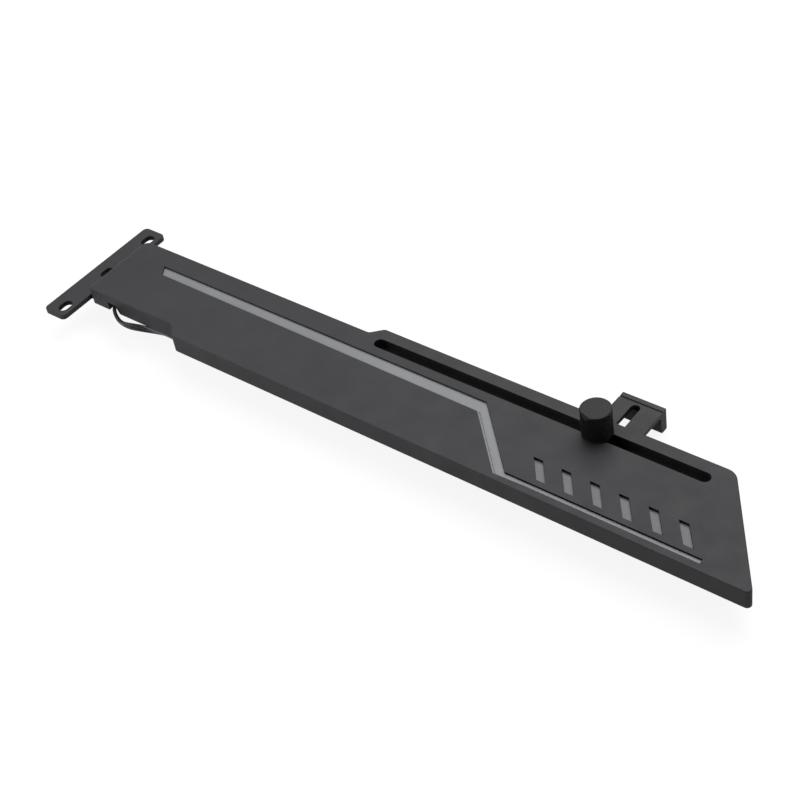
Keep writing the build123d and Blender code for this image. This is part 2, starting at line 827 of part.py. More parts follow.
# Arm with a slot along it and a hooked lip at its far end
with BuildPart() as support_arm:
    with BuildSketch(Plane.YZ.offset(arm_left_x)) as arm_profile:
        with BuildLine():
            Polyline(
                (arm_near_y, arm_top_z),
                (lip_outer_y, arm_top_z),
                (lip_outer_y, lip_bottom_z),
                (lip_inner_y, lip_bottom_z),
                (lip_inner_y, arm_under_z),
                (arm_near_y, arm_under_z),
                close=True,
            )
        make_face()
        crook = arm_profile.vertices().group_by(Axis.X)[1].sort_by(Axis.Y)[-1]
        fillet(crook, crook_round)
        fillet(arm_profile.vertices().group_by(Axis.Y)[0], lip_round)
    extrude(amount=arm_width)
    near_corners = support_arm.edges().filter_by(Axis.Z).group_by(Axis.Y)[0]
    fillet(near_corners, arm_corner)
    with BuildSketch(Plane.XY.offset(arm_under_z)):
        with Locations((clamp_x, (arm_slot_near_y + arm_slot_far_y) / 2)):
            SlotOverall(arm_slot_far_y - arm_slot_near_y, arm_slot_width, rotation=90)
    extrude(amount=arm_thickness, mode=Mode.SUBTRACT)
    with BuildSketch(Plane.XY.offset(arm_top_z - lip_groove_depth)):
        with Locations((clamp_x, lip_groove_y)):
            Rectangle(2 * arm_width, lip_groove_width)
    extrude(amount=lip_groove_depth, mode=Mode.SUBTRACT)
support_arm.part.label = "support_arm"

for radius in lead_radii:
    print("lead bend radius", round(radius, 2))
lead_length = sum(edge.length for edge in lead_path.line.edges())
print("lead volume", round(lead.part.volume, 2), "length", round(lead_length, 2))

pieces = [base_plate, top_cover, light_guide, window_lens, reflector_tray_upper, reflector_tray_lower]
pieces += [board_tape_upper, board_tape_lower, led_board_upper, led_board_lower, leds_upper, leds_lower]
pieces += [board_link, cover_screws, strain_relief, inner_wires, lead, lead_hank, hank_tie, lead_tail]
pieces += [lead_plug, plug_contacts, clamp_stud, thumb_knob, clamp_washer, support_arm]
for piece in pieces:
    export_step(piece.part, "parts/" + piece.part.label + ".step")
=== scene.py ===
"""Dresses the graphics card support bracket: lead, thumb nut, light strip, finishes and stage.

Run as a script in Blender. All lengths are in metres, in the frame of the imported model.
"""
import math

import bpy
import numpy as np
from bpy.props import FloatProperty, FloatVectorProperty, IntProperty, PointerProperty
from bpy.types import Operator, Panel, PropertyGroup
from mathutils import Matrix, Vector


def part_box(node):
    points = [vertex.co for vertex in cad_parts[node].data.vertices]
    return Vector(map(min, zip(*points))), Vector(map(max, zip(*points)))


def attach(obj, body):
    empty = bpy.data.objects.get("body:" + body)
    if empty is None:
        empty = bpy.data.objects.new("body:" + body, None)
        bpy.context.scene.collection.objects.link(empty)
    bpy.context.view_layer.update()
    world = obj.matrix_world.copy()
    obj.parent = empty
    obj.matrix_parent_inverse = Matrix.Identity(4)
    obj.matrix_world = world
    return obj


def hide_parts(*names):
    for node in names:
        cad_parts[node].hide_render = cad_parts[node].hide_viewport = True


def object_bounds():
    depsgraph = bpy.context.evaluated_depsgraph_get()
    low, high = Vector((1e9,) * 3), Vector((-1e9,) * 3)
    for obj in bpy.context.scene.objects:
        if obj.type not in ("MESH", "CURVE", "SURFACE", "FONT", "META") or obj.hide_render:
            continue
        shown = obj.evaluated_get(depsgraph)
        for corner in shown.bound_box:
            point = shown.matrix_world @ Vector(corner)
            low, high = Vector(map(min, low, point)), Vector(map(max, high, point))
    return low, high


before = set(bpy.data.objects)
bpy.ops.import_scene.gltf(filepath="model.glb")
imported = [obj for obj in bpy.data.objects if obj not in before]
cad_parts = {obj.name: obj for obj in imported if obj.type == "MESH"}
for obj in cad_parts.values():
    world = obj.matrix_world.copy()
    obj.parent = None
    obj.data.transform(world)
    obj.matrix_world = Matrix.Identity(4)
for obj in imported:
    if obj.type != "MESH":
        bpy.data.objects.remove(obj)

bl_info = {
    "name": "Graphics card support bracket",
    "version": (1, 0, 0),
    "blender": (4, 5, 0),
    "location": "3D View > Sidebar > Bracket",
    "description": "Builds the looks of a graphics card support bracket round its packed model",
    "category": "Object",
}

CAD_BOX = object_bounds()
MM = 0.001
BODY = "body"

# Sockets of a Mix node that mixes colours
COLOR_A, COLOR_B, COLOR_RESULT = 6, 7, 2

KNOB_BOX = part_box("thumb_knob")
GUIDE_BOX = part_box("light_guide")
COVER_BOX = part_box("top_cover")
HANK_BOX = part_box("lead_hank")
PLUG_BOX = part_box("lead_plug")


class LeadSettings(PropertyGroup):
    """Sizes of the lead and of its wires."""

    diameter: FloatProperty(name="Bundle diameter", description="Width of the three wires together",
                            default=0.0022, unit="LENGTH")
    wire_radius: FloatProperty(name="Wire radius", description="Radius of one wire with its insulation",
                               default=0.0004, unit="LENGTH")
    spacing: FloatProperty(name="Wire spacing", description="Distance between wires that lie side by side",
                           default=0.00079, unit="LENGTH")
    lay: FloatProperty(name="Twist length", description="Length of lead in which the wires turn once",
                       default=0.034, unit="LENGTH")
    length: FloatProperty(name="Lead length", description="Length from the notch to the plug",
                          default=0.338, unit="LENGTH")
    sides: IntProperty(name="Sides", description="Sides of each round wire", default=12, min=6, max=32)


class KnobSettings(PropertyGroup):
    """Sizes of the thumb nut's knurling."""

    rows: IntProperty(name="Knurls around", description="Diamonds round the nut", default=43, min=12, max=90)
    rise: FloatProperty(name="Knurl height", description="Height of one diamond along the nut",
                        default=0.0016, unit="LENGTH")
    depth: FloatProperty(name="Knurl depth", description="Depth of the grooves between diamonds",
                         default=0.0003, unit="LENGTH")
    flat_depth: FloatProperty(name="Rim flat", description="Depth of the small flat on the top rim",
                              default=0.00072, unit="LENGTH")
    flat_angle: FloatProperty(name="Flat's side", description="Side of the nut on which the rim's flat lies",
                              default=4.461, subtype="ANGLE")
    chamfer: FloatProperty(name="Edge", description="Chamfer at the top and bottom rims",
                           default=0.0003, unit="LENGTH")


class StripSettings(PropertyGroup):
    """Sizes of the ribbing on the lower light strip."""

    pitch: FloatProperty(name="Rib pitch", description="Distance from one rib to the next",
                         default=0.0006, unit="LENGTH")
    height: FloatProperty(name="Rib height", description="Height of the ribs", default=0.000004,
                          unit="LENGTH")
    slant: FloatProperty(name="Rib slant", description="Sideways lean of a rib over the strip's width",
                         default=0.6, min=-2.0, max=2.0)


class FinishSettings(PropertyGroup):
    """Colours of the bracket's finishes."""

    cover: FloatVectorProperty(name="Cover", description="Matte black of the cover", subtype="COLOR",
                               size=3, default=(0.0445, 0.0445, 0.0487), min=0, max=1)
    steel: FloatVectorProperty(name="Steel", description="Powder coat of the plate and the arm",
                               subtype="COLOR", size=3, default=(0.0445, 0.0445, 0.0487), min=0, max=1)
    # Colour of the knurled side only: the anodising with painted shade, darker than the nut's top.
    knurl: FloatVectorProperty(name="Thumb nut", description="Black anodising of the knurled nut",
                               subtype="COLOR", size=3, default=(0.006, 0.006, 0.0062), min=0, max=1)
    diffuser: FloatVectorProperty(name="Diffuser", description="Smoke grey of the light strip",
                                  subtype="COLOR", size=3, default=(0.252, 0.256, 0.27), min=0, max=1)
    lens: FloatVectorProperty(name="Lens", description="Smoke grey of the windows", subtype="COLOR",
                              size=3, default=(0.147, 0.15, 0.161), min=0, max=1)
    wire: FloatVectorProperty(name="Wire", description="Black insulation of the wires", subtype="COLOR",
                              size=3, default=(0.022, 0.0235, 0.032), min=0, max=1)


class StageSettings(PropertyGroup):
    """Camera and light of the stage."""

    lens: FloatProperty(name="Lens", description="Focal length of the camera", default=76.88467,
                        subtype="DISTANCE_CAMERA")
    camera_place: FloatVectorProperty(name="Camera", description="Place of the camera", subtype="TRANSLATION",
                                      size=3, default=(0.404865, -0.275649, 0.352785))
    key: FloatProperty(name="Key light", description="Power of the large lamp above and behind", default=8.6,
                       min=0, subtype="POWER")
    fill: FloatProperty(name="Fill light", description="Power of the small lamp at the front left",
                        default=0.55, min=0, subtype="POWER")
    sky: FloatProperty(name="Surrounding light", description="Strength of the light from all round",
                       default=0.22, min=0)


def build_mesh(name, points, faces, smooth=True):
    """Object from an array of points and arrays of corner numbers, with its origin at the frame's."""
    mesh = bpy.data.meshes.new(name)
    mesh.from_pydata(np.asarray(points, float).tolist(), [], [list(map(int, face)) for face in faces])
    mesh.polygons.foreach_set("use_smooth", np.full(len(mesh.polygons), smooth))
    mesh.update()
    piece = bpy.data.objects.new(name, mesh)
    bpy.context.scene.collection.objects.link(piece)
    return piece


def grid_faces(rows, columns, closed=False):
    """Quads of a grid of points numbered row by row; closed joins each row's last point to its first."""
    i = np.arange(rows - 1)
    j = np.arange(columns if closed else columns - 1)
    ii, jj = np.meshgrid(i, j, indexing="ij")
    a = ii * columns + jj
    b = ii * columns + (jj + 1) % columns
    c = (ii + 1) * columns + (jj + 1) % columns
    d = (ii + 1) * columns + jj
    return np.stack([a, b, c, d], -1).reshape(-1, 4)


def frames_along(line):
    """Unit tangents and two unit normals at each point of a line, turned as little as possible."""
    step = np.gradient(line, axis=0)
    tangent = step / np.linalg.norm(step, axis=1, keepdims=True)
    normal = np.zeros_like(tangent)
    first = np.cross(tangent[0], (0.0, 0.0, 1.0))
    normal[0] = first / np.linalg.norm(first)
    for index in range(1, len(line)):
        carried = normal[index - 1] - tangent[index] * np.dot(normal[index - 1], tangent[index])
        normal[index] = carried / np.linalg.norm(carried)
    return tangent, normal, np.cross(tangent, normal)


def resample(line, spacing):
    """The same line with its points evenly spaced along its length, and those lengths."""
    run = np.concatenate([[0.0], np.cumsum(np.linalg.norm(np.diff(line, axis=0), axis=1))])
    count = max(int(run[-1] / spacing), 2)
    along = np.linspace(0.0, run[-1], count)
    return np.stack([np.interp(along, run, line[:, k]) for k in range(3)], 1), along


def tube(line, radius, sides):
    """Closed round tube: at each point of the line, a circle in the plane square to the line."""
    tangent, normal, side = frames_along(line)
    angle = np.linspace(0, 2 * np.pi, sides, endpoint=False)
    ring = np.cos(angle)[None, :, None] * normal[:, None] + np.sin(angle)[None, :, None] * side[:, None]
    points = (line[:, None] + radius * ring).reshape(-1, 3)
    faces = grid_faces(len(line), sides, closed=True)[:, ::-1].tolist()
    last = (len(line) - 1) * sides
    faces.append(list(range(sides)))
    faces.append([last + k for k in range(sides)][::-1])
    return points, faces


def revolve(profile, steps, change):
    """Closed body of revolution: a profile of (radius, height) pairs from pole to pole, carried round.

    change(angle, height, radius) gives what is added to each ring point's radius.
    """
    profile = np.asarray(profile, float)
    inner = profile[1:-1]
    angle = np.linspace(0, 2 * np.pi, steps, endpoint=False)
    radius = np.repeat(inner[:, :1], steps, 1)
    height = np.repeat(inner[:, 1:2], steps, 1)
    radius = radius + change(angle[None, :], height, radius)
    rings = np.stack([radius * np.cos(angle), radius * np.sin(angle), height], -1).reshape(-1, 3)
    points = np.concatenate([rings, [[0, 0, profile[0, 1]], [0, 0, profile[-1, 1]]]])
    faces = grid_faces(len(inner), steps, closed=True).tolist()
    low, high, last = len(rings), len(rings) + 1, (len(inner) - 1) * steps
    faces += [[low, (k + 1) % steps, k] for k in range(steps)]
    faces += [[high, last + k, last + (k + 1) % steps] for k in range(steps)]
    return points, faces


class Nodes:
    """A material's node tree, with short calls to add and join nodes."""

    def __init__(self, name):
        self.material = bpy.data.materials.new(name)
        self.material.use_nodes = True
        self.tree = self.material.node_tree
        self.surface = self.tree.nodes["Principled BSDF"]

    def add(self, kind, **values):
        """New node; each value goes to the socket of that name, or else to the node's own setting."""
        node = self.tree.nodes.new(kind)
        for key, value in values.items():
            if key in node.inputs:
                node.inputs[key].default_value = value
            else:
                setattr(node, key, value)
        return node

    def join(self, source, target):
        self.tree.links.new(source, target)

    def noise(self, scale, detail=3.0, roughness=0.5):
        """Cloudy pattern from 0 to 1 that stays fixed to the piece."""
        coordinates = self.add("ShaderNodeTexCoord")
        noise = self.add("ShaderNodeTexNoise", Scale=scale, Detail=detail, Roughness=roughness)
        self.join(coordinates.outputs["Object"], noise.inputs["Vector"])
        return noise.outputs["Fac"]

    def spread(self, source, low, high, start=0.3, end=0.7):
        """Value that goes from low to high while the source goes from start to end."""
        ramp = self.add("ShaderNodeMapRange")
        ramp.inputs["From Min"].default_value = start
        ramp.inputs["From Max"].default_value = end
        ramp.inputs["To Min"].default_value = low
        ramp.inputs["To Max"].default_value = high
        self.join(source, ramp.inputs["Value"])
        return ramp.outputs["Result"]

    def tint(self, fraction, one, other):
        """Colour between one and other, by the fraction."""
        mix = self.add("ShaderNodeMix", data_type="RGBA")
        mix.inputs[COLOR_A].default_value = (*one, 1.0)
        mix.inputs[COLOR_B].default_value = (*other, 1.0)
        self.join(fraction, mix.inputs[0])
        return mix.outputs[COLOR_RESULT]

    def bump(self, source, distance):
        """Raises the surface by the distance where the pattern is 1."""
        bump = self.add("ShaderNodeBump", Distance=distance)
        self.join(source, bump.inputs["Height"])
        self.join(bump.outputs["Normal"], self.surface.inputs["Normal"])


def coat(name, color, roughness, grain, depth, specular, edge_wear_and_sheen):
    """Matte coat: fine grain in the surface, slow drift of tone and gloss, edges lightened by rubbing and by
    a painted highlight, painted shade darkening the hollows.

    grain is the scale of the texture and depth its height; the last argument is how far the rounded edges are
    lightened, partly by rubbing and partly as a painted highlight.
    """
    mottle, edge_radius = 0.07, 0.00035
    hollow_reach, hollow_share, hollow_full, hollow_none = 0.010, 0.10, 0.58, 0.92
    nodes = Nodes(name)
    base = nodes.surface
    base.inputs["Specular IOR Level"].default_value = specular
    color = np.array(color)
    drift = nodes.spread(nodes.noise(45.0, 4.0), 0.0, 1.0)
    ground = nodes.tint(drift, tuple(color * (1 - mottle)), tuple(color * (1 + mottle)))
    fleck = nodes.spread(nodes.noise(grain, 2.0, 0.6), 0.0, 1.0, 0.35, 0.65)
    speck = nodes.add("ShaderNodeMix", data_type="RGBA", blend_type="MULTIPLY")
    speck.inputs[0].default_value = 0.5
    nodes.join(ground, speck.inputs[COLOR_A])
    nodes.join(nodes.tint(fleck, (0.82, 0.82, 0.82), (1.0, 1.0, 1.0)), speck.inputs[COLOR_B])
    # Rounded edges lightened: partly rubbed paint, partly a painted highlight for the light an edge catches.
    rubbed_and_sheen = nodes.add("ShaderNodeMix", data_type="RGBA")
    nodes.join(speck.outputs[COLOR_RESULT], rubbed_and_sheen.inputs[COLOR_A])
    rubbed_and_sheen.inputs[COLOR_B].default_value = (*(color * 1.6 + 0.01), 1.0)
    round_edge = nodes.add("ShaderNodeBevel", Radius=edge_radius, samples=4)
    facing = nodes.add("ShaderNodeNewGeometry")
    likeness = nodes.add("ShaderNodeVectorMath", operation="DOT_PRODUCT")
    nodes.join(round_edge.outputs["Normal"], likeness.inputs[0])
    nodes.join(facing.outputs["Normal"], likeness.inputs[1])
    edge = nodes.spread(likeness.outputs["Value"], edge_wear_and_sheen, 0.0, 0.80, 0.97)
    nodes.join(edge, rubbed_and_sheen.inputs[0])
    # Painted shade: the colour and the specular are darkened in hollows and recesses, where shade falls.
    openness = nodes.add("ShaderNodeAmbientOcclusion", Distance=hollow_reach, samples=8, only_local=True)
    painted_hollow_shade = nodes.spread(openness.outputs["AO"], hollow_share, 1.0, hollow_full, hollow_none)
    shaded = nodes.add("ShaderNodeMix", data_type="RGBA")
    shaded.inputs[COLOR_A].default_value = (0.001, 0.001, 0.001, 1.0)
    nodes.join(rubbed_and_sheen.outputs[COLOR_RESULT], shaded.inputs[COLOR_B])
    nodes.join(painted_hollow_shade, shaded.inputs[0])
    nodes.join(shaded.outputs[COLOR_RESULT], base.inputs["Base Color"])
    nodes.join(nodes.spread(painted_hollow_shade, 0.02, specular, 0.0, 1.0), base.inputs["Specular IOR Level"])
    gloss = nodes.spread(nodes.noise(120.0, 3.0), roughness - 0.05, roughness + 0.05)
    nodes.join(gloss, base.inputs["Roughness"])
    nodes.bump(nodes.noise(grain, 3.0, 0.6), depth)
    return nodes.material


def turned_rings(material, centre):
    """Adds the fine rings of a turned face round a centre to a coat's gloss."""
    tree = material.node_tree
    place = tree.nodes.new("ShaderNodeTexCoord")
    shift = tree.nodes.new("ShaderNodeVectorMath")
    shift.operation = "SUBTRACT"
    shift.inputs[1].default_value = (centre.x, centre.y, centre.z)
    tree.links.new(place.outputs["Object"], shift.inputs[0])
    rings = tree.nodes.new("ShaderNodeTexWave")
    rings.wave_type = "RINGS"
    rings.rings_direction = "Z"
    rings.inputs["Scale"].default_value = 420.0
    rings.inputs["Distortion"].default_value = 0.4
    tree.links.new(shift.outputs["Vector"], rings.inputs["Vector"])
    gloss = tree.nodes.new("ShaderNodeMapRange")
    gloss.inputs["To Min"].default_value = 0.47
    gloss.inputs["To Max"].default_value = 0.60
    tree.links.new(rings.outputs["Fac"], gloss.inputs["Value"])
    tree.links.new(gloss.outputs["Result"], tree.nodes["Principled BSDF"].inputs["Roughness"])


def painted_edge_glint(material, color, start, width):
    """Lightens a thin line along a coat's left edge: a painted highlight where the edge catches the light."""
    tree = material.node_tree
    base = tree.nodes["Principled BSDF"]
    place = tree.nodes.new("ShaderNodeTexCoord")
    split = tree.nodes.new("ShaderNodeSeparateXYZ")
    tree.links.new(place.outputs["Object"], split.inputs["Vector"])
    line = tree.nodes.new("ShaderNodeMapRange")
    line.inputs["From Min"].default_value = start + 0.4 * width
    line.inputs["From Max"].default_value = start + width
    line.inputs["To Min"].default_value = 1.0
    line.inputs["To Max"].default_value = 0.0
    tree.links.new(split.outputs["X"], line.inputs["Value"])
    glint_mix = tree.nodes.new("ShaderNodeMix")
    glint_mix.data_type = "RGBA"
    glint_mix.inputs[COLOR_B].default_value = (*(np.array(color) * 3.0), 1.0)
    tree.links.new(base.inputs["Base Color"].links[0].from_socket, glint_mix.inputs[COLOR_A])
    tree.links.new(line.outputs["Result"], glint_mix.inputs[0])
    tree.links.new(glint_mix.outputs[COLOR_RESULT], base.inputs["Base Color"])


def frosted(name, color, roughness):
    """Frosted diffuser: smooth smoke grey with a soft cloud and fine speckled gloss."""
    nodes = Nodes(name)
    base = nodes.surface
    color = np.array(color)
    base.inputs["Specular IOR Level"].default_value = 0.45
    cloud = nodes.spread(nodes.noise(70.0, 3.0), 0.0, 1.0)
    nodes.join(nodes.tint(cloud, tuple(color * 0.94), tuple(color * 1.06)), base.inputs["Base Color"])
    gloss = nodes.spread(nodes.noise(900.0, 2.0), roughness - 0.04, roughness + 0.04)
    nodes.join(gloss, base.inputs["Roughness"])
    nodes.bump(nodes.noise(2600.0, 2.0), 0.000006)
    return nodes.material


def plain_plastic(name, color, roughness):
    """Moulded plastic: even colour with slight cloud, fine moulding texture."""
    grain = 900.0
    nodes = Nodes(name)
    base = nodes.surface
    color = np.array(color)
    cloud = nodes.spread(nodes.noise(160.0, 3.0), 0.0, 1.0)
    nodes.join(nodes.tint(cloud, tuple(color * 0.9), tuple(color * 1.1)), base.inputs["Base Color"])
    gloss = nodes.spread(nodes.noise(grain, 2.0), roughness - 0.06, roughness + 0.06)
    nodes.join(gloss, base.inputs["Roughness"])
    nodes.bump(nodes.noise(grain * 3, 2.0), 0.000008)
    return nodes.material


def bare_metal(name, color, roughness):
    """Plated metal: drawn lines of gloss and a fine unevenness."""
    nodes = Nodes(name)
    base = nodes.surface
    color = np.array(color)
    base.inputs["Metallic"].default_value = 1.0
    cloud = nodes.spread(nodes.noise(400.0, 4.0), 0.0, 1.0)
    nodes.join(nodes.tint(cloud, tuple(color * 0.85), tuple(color * 1.05)), base.inputs["Base Color"])
    gloss = nodes.spread(nodes.noise(1500.0, 3.0), roughness - 0.08, roughness + 0.1)
    nodes.join(gloss, base.inputs["Roughness"])
    nodes.bump(nodes.noise(3000.0, 2.0), 0.000006)
    return nodes.material


def dress(node, material):
    """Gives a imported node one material."""
    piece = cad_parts[node]
    piece.data.materials.clear()
    piece.data.materials.append(material)


def give(piece, material, body=BODY):
    """Gives a new piece its material and the body it moves with."""
    piece.data.materials.clear()
    piece.data.materials.append(material)
    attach(piece, body)


def lead_route():
    """Control points of the lead, from the notch through the put-away coil to the plug.

    Each half turn of the coil is half a circle of points, whose radius and height change evenly along
    it. The circle is stretched a little, because the spline runs inside its control points.
    """
    side_room, roof_room, floor_room, lane = 1.1, 1.1, 1.15, 1.75
    crossing_shift, plug_straight, points_per_half = 0.7, 7.0, 8
    route = [
        (15.1, -9.2, 1.6),
        (15.1, -12.08, 1.6),
        (19.9, -15.52, 0.89),
        (25.28, -16.91, 0.94),
        (31.36, -12.44, -1.67),
        (44.7, -10.5, -2.1),
    ]
    low, high = np.array(HANK_BOX[0]) / MM, np.array(HANK_BOX[1]) / MM
    middle_y = (low[1] + high[1]) / 2
    wide = (high[1] - low[1]) / 2 - side_room
    narrow = wide - lane
    left_x = low[0] + (high[1] - low[1]) / 2
    right_x = high[0] - (high[1] - low[1]) / 2
    upper, lower = high[2] - roof_room, low[2] + floor_room
    stretch = 1 / math.cos(math.radians(90 / (points_per_half - 2)))
    turns = [
        (wide, wide, upper, upper), (wide, narrow, upper, upper),
        (narrow, narrow, upper, upper), (narrow, narrow, upper, lower),
        (narrow, narrow, lower, lower), (narrow, wide, lower, lower),
        (wide, wide, lower, lower),
    ]
    for half, (start, end, start_z, end_z) in enumerate(turns):
        share = (np.arange(points_per_half) - 0.5) / (points_per_half - 2)
        angle = np.radians(-90 + 180 * share + (180 if half % 2 else 0))
        share = np.clip(share, 0.0, 1.0)
        size = (start + (end - start) * share) * stretch
        inward = crossing_shift if start_z != end_z else 0.0
        x = (left_x if half % 2 else right_x) + inward + size * np.cos(angle)
        y = middle_y + size * np.sin(angle)
        z = start_z + (end_z - start_z) * share
        route += list(zip(x, y, z))
    plug_low, plug_high = np.array(PLUG_BOX[0]) / MM, np.array(PLUG_BOX[1]) / MM
    plug_y, plug_z = (plug_low[1] + plug_high[1]) / 2, (plug_low[2] + plug_high[2]) / 2
    route.append((plug_high[0] + plug_straight, plug_y, plug_z))
    route.append((plug_high[0], plug_y, plug_z))
    return np.array(route) * MM


def spline_line(route):
    """Points of the smooth line that a second-degree spline draws for the route's control points."""
    curve = bpy.data.curves.new("lead_line", "CURVE")
    curve.dimensions = "3D"
    curve.resolution_u = 24
    spline = curve.splines.new("NURBS")
    spline.points.add(len(route) - 1)
    spline.points.foreach_set("co", np.hstack([route, np.ones((len(route), 1))]).ravel())
    spline.order_u = 3
    spline.use_endpoint_u = True
    holder = bpy.data.objects.new("lead_line", curve)
    bpy.context.scene.collection.objects.link(holder)
    bpy.context.view_layer.update()
    mesh = bpy.data.meshes.new_from_object(holder)
    points = np.zeros(len(mesh.vertices) * 3)
    mesh.vertices.foreach_get("co", points)
    bpy.data.objects.remove(holder)
    bpy.data.curves.remove(curve)
    bpy.data.meshes.remove(mesh)
    return points.reshape(-1, 3)


class BRACKET_OT_lead(Operator):
    """Lays three thin wires along the lead's line, side by side at the notch and then loosely twisted.

    In the ribbon, a wire is the line moved sideways by the spacing, at an angle that changes along it.
    In the twist, it is the line moved out by a fixed radius, at an angle that grows with the length.
    """

    bl_idname = "bracket.lead"
    bl_label = "Lead"

    def execute(self, context):
        values = context.scene.bracket_lead
        step, ribbon_end, ribbon_fade = 0.00045, 0.042, 0.008
        first_angle, packing = 1.25, 1.16
        outward = (0.52, -0.53, 0.67)
        line, along = resample(spline_line(lead_route()), step)
        tangent, normal, side = frames_along(line)
        up = np.cross(tangent, np.cross(outward, tangent))
        up /= np.linalg.norm(up, axis=1, keepdims=True)
        across = np.cross(tangent, up)
        flat = np.clip((ribbon_end - along) / ribbon_fade, 0.0, 1.0)[:, None]
        turn = 2 * np.pi * along / values.lay + first_angle
        points, faces, count = [], [], 0
        places = (0.0, 0.0064, 0.0092, 0.0118, 0.0142, 0.0162, 0.0182, 0.0213, 0.0246, 0.031, 0.042)
        angles = (5.0, 9.0, 13.0, 22.0, 48.0, 78.0, 95.0, 128.0, 158.0, 200.0, 270.0)
        ribbon_angle = np.radians(np.interp(along, places, angles))
        sideways = np.cos(ribbon_angle)[:, None] * up + np.sin(ribbon_angle)[:, None] * across
        for strand in (-1, 0, 1):
            ribbon = strand * values.spacing * sideways
            phase = turn + strand * 2 * np.pi / 3
            around = np.cos(phase)[:, None] * normal + np.sin(phase)[:, None] * side
            bundle = packing * values.wire_radius * around
            strand_line = line + flat * ribbon + (1 - flat) * bundle
            part_points, part_faces = tube(strand_line, values.wire_radius, values.sides)
            points.append(part_points)
            faces += [[corner + count for corner in face] for face in part_faces]
            count += len(part_points)
        piece = build_mesh("lead_wires", np.concatenate(points), faces)
        finish = plain_plastic("wire_insulation", context.scene.bracket_finish.wire, 0.33)
        finish.node_tree.nodes["Principled BSDF"].inputs["Specular IOR Level"].default_value = 0.95
        give(piece, finish)
        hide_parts("lead", "lead_hank", "lead_tail")
        return {"FINISHED"}


class BRACKET_OT_knob(Operator):
    """Turns the knurled thumb nut: a profile carried round, with its radius cut by the knurl's grooves.

    The small flat on the rim is where every point that lies further out than a plane is moved back to it.
    """

    bl_idname = "bracket.knob"
    bl_label = "Thumb nut"

    def execute(self, context):
        values = context.scene.bracket_knob
        low, high = KNOB_BOX
        centre = (low + high) / 2
        radius = (high.x - low.x) / 2
        height = high.z - low.z
        bore, bore_depth, rim = 0.00153, 0.0056, values.chamfer
        knurl_start, knurl_fade, rings, steps_per_diamond, flat_lean = 0.0004, 0.0004, 78, 8, 0.35
        side = np.linspace(0.0005, height - rim, rings)
        profile = [(0, bore_depth), (bore, bore_depth), (bore, 0), (radius * 0.9, 0), (radius * 0.93, 0.0003)]
        profile += [(radius, z) for z in side]
        profile += [(radius - 0.6 * rim, height - 0.4 * rim), (radius - rim, height - 0.1 * rim),
                    (radius - 1.4 * rim, height), (radius * 0.86, height), (radius * 0.5, height),
                    (0, height)]

        def knurl(angle, z, size):
            """Change of radius: minus the depth in the grooves of two slanting families, 0 between them."""
            first = np.mod(values.rows * angle / (2 * np.pi) + z / values.rise, 1.0)
            second = np.mod(values.rows * angle / (2 * np.pi) - z / values.rise, 1.0)
            nearness = np.minimum(1 - np.abs(2 * first - 1), 1 - np.abs(2 * second - 1))
            fade = np.clip((z - knurl_start) / knurl_fade, 0, 1)
            fade = fade * np.clip((height - rim - z) / knurl_fade, 0, 1)
            return -values.depth * (1 - nearness) * fade * (size > 0.99 * radius)

        points, faces = revolve(profile, values.rows * steps_per_diamond, knurl)
        flat_side = np.array([math.cos(values.flat_angle), math.sin(values.flat_angle)])
        reach = radius - values.flat_depth + flat_lean * np.clip(height - points[:, 2], 0, None)
        out = points[:, :2] @ flat_side
        cut = out > reach
        points[cut, :2] *= (reach[cut] / out[cut])[:, None]
        piece = build_mesh("knurled_nut", points + np.array([centre.x, centre.y, low.z]), faces)
        colors = context.scene.bracket_finish
        # The one anodised nut gets two colours: the knurled side painted darker and the turned top painted
        # lighter, for how the light falls on them.
        give(piece, coat("nut_side_shaded", colors.knurl, 0.42, 3500.0, 0.000006, specular=0.35, edge_wear_and_sheen=0.1),
             "nut")
        lit_top_coat = coat("nut_top_lit", tuple(0.66 * value for value in colors.cover), 0.55, 3000.0, 0.00001,
                      specular=0.22, edge_wear_and_sheen=0.1)
        turned_rings(lit_top_coat, centre)
        piece.data.materials.append(lit_top_coat)
        middles = np.zeros(len(piece.data.polygons) * 3)
        piece.data.polygons.foreach_get("center", middles)
        top = middles.reshape(-1, 3)[:, 2] > high.z - 0.35 * rim
        piece.data.polygons.foreach_set("material_index", top.astype(np.int32))
        flat = middles.reshape(-1, 3)[:, 2] > high.z - 0.01 * rim
        piece.data.polygons.foreach_set("use_smooth", ~flat)
        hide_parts("thumb_knob")
        return {"FINISHED"}


class BRACKET_OT_strip(Operator):
    """Adds the fine slanting ribs on the lower run of the light strip, and the strip's and lens's finish.

    The ribs are one thin sheet, whose height is a cosine of the distance along the strip less its lean
    across it.
    """

    bl_idname = "bracket.strip"
    bl_label = "Light strip and windows"

    def execute(self, context):
        values = context.scene.bracket_strip
        colors = context.scene.bracket_finish
        near, far = -14.5 * MM, -12.99 * MM
        start, end = 177.4 * MM, 243.6 * MM
        floor = GUIDE_BOX[1].z + 0.01 * MM
        points_per_rib, rows = 8, 8
        columns = int((end - start) / values.pitch) * points_per_rib
        x = np.linspace(start, end, columns)[None, :].repeat(rows, 0)
        y = np.linspace(near, far, rows)[:, None].repeat(columns, 1)
        lean = (y - near) * values.slant
        wave = np.cos(2 * np.pi * (x - lean) / values.pitch)
        z = floor + values.height * (0.5 + 0.5 * wave)
        points = np.stack([x, y, z], -1).reshape(-1, 3)
        piece = build_mesh("strip_ribs", points, grid_faces(rows, columns))
        finish = frosted("strip_diffuser", colors.diffuser, 0.4)
        give(piece, finish)
        dress("light_guide", finish)
        dress("window_lens", frosted("window_diffuser", colors.lens, 0.38))
        return {"FINISHED"}


